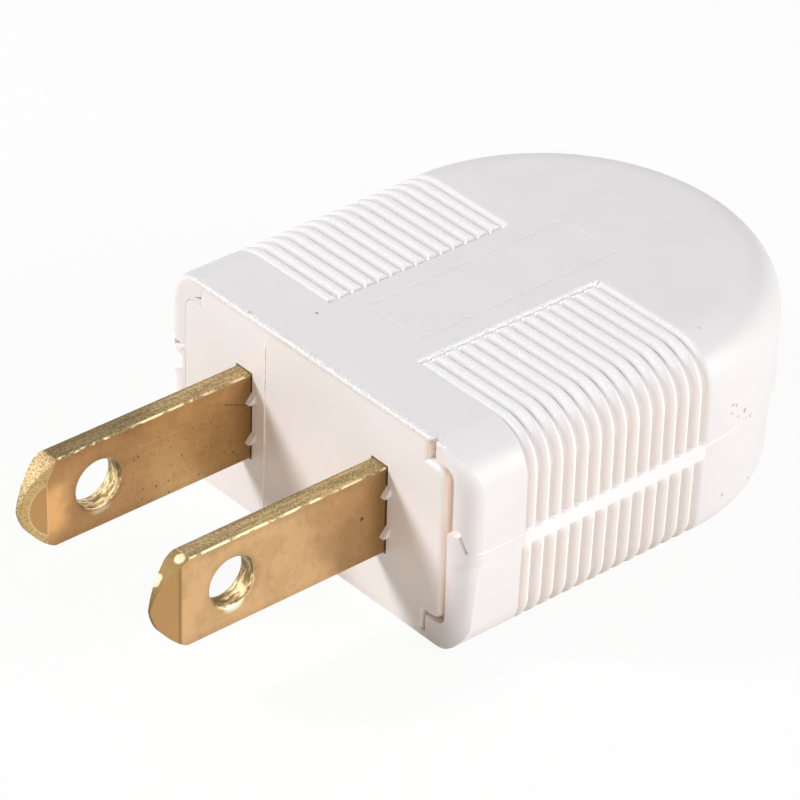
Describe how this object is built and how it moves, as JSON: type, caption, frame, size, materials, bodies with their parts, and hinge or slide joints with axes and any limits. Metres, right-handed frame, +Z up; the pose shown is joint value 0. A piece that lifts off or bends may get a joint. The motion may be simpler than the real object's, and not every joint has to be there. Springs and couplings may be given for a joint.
{
  "type": "electrical plug",
  "caption": "Flat-blade electrical plug with a rounded two-part housing, ribbed finger grips, a stepped front plate, brass blades and a rear cord inlet; rewirable, no cord.",
  "frame": {"origin": "middle of the plug face, half way between the two blades", "axes": "-Y out of the plug face along the blades, +Y towards the cord inlet, +X to the right seen from the face, +Z up with the plug lying on its flat side"},
  "size_m": [0.0284, 0.0508, 0.0142],
  "materials": {
    "shell_plastic": "white satin moulding",
    "plate_plastic": "white satin moulding, slightly warm",
    "blade_brass": "rolled brass, faintly pitted, worn bright at the edges",
    "screw_steel": "zinc plated",
    "washer_steel": "zinc plated",
    "clamp_plastic": "white satin moulding"
  },
  "bodies": {
    "root": {"upper_shell": "shell_plastic", "lower_shell": "shell_plastic", "front_plate": "plate_plastic", "left_blade": "blade_brass", "right_blade": "blade_brass", "left_terminal_screw": "screw_steel", "right_terminal_screw": "screw_steel", "left_terminal_washer": "washer_steel", "right_terminal_washer": "washer_steel", "cord_clamp": "clamp_plastic", "left_clamp_screw": "screw_steel", "right_clamp_screw": "screw_steel", "housing_screw": "screw_steel"}
  },
  "joints": []
}
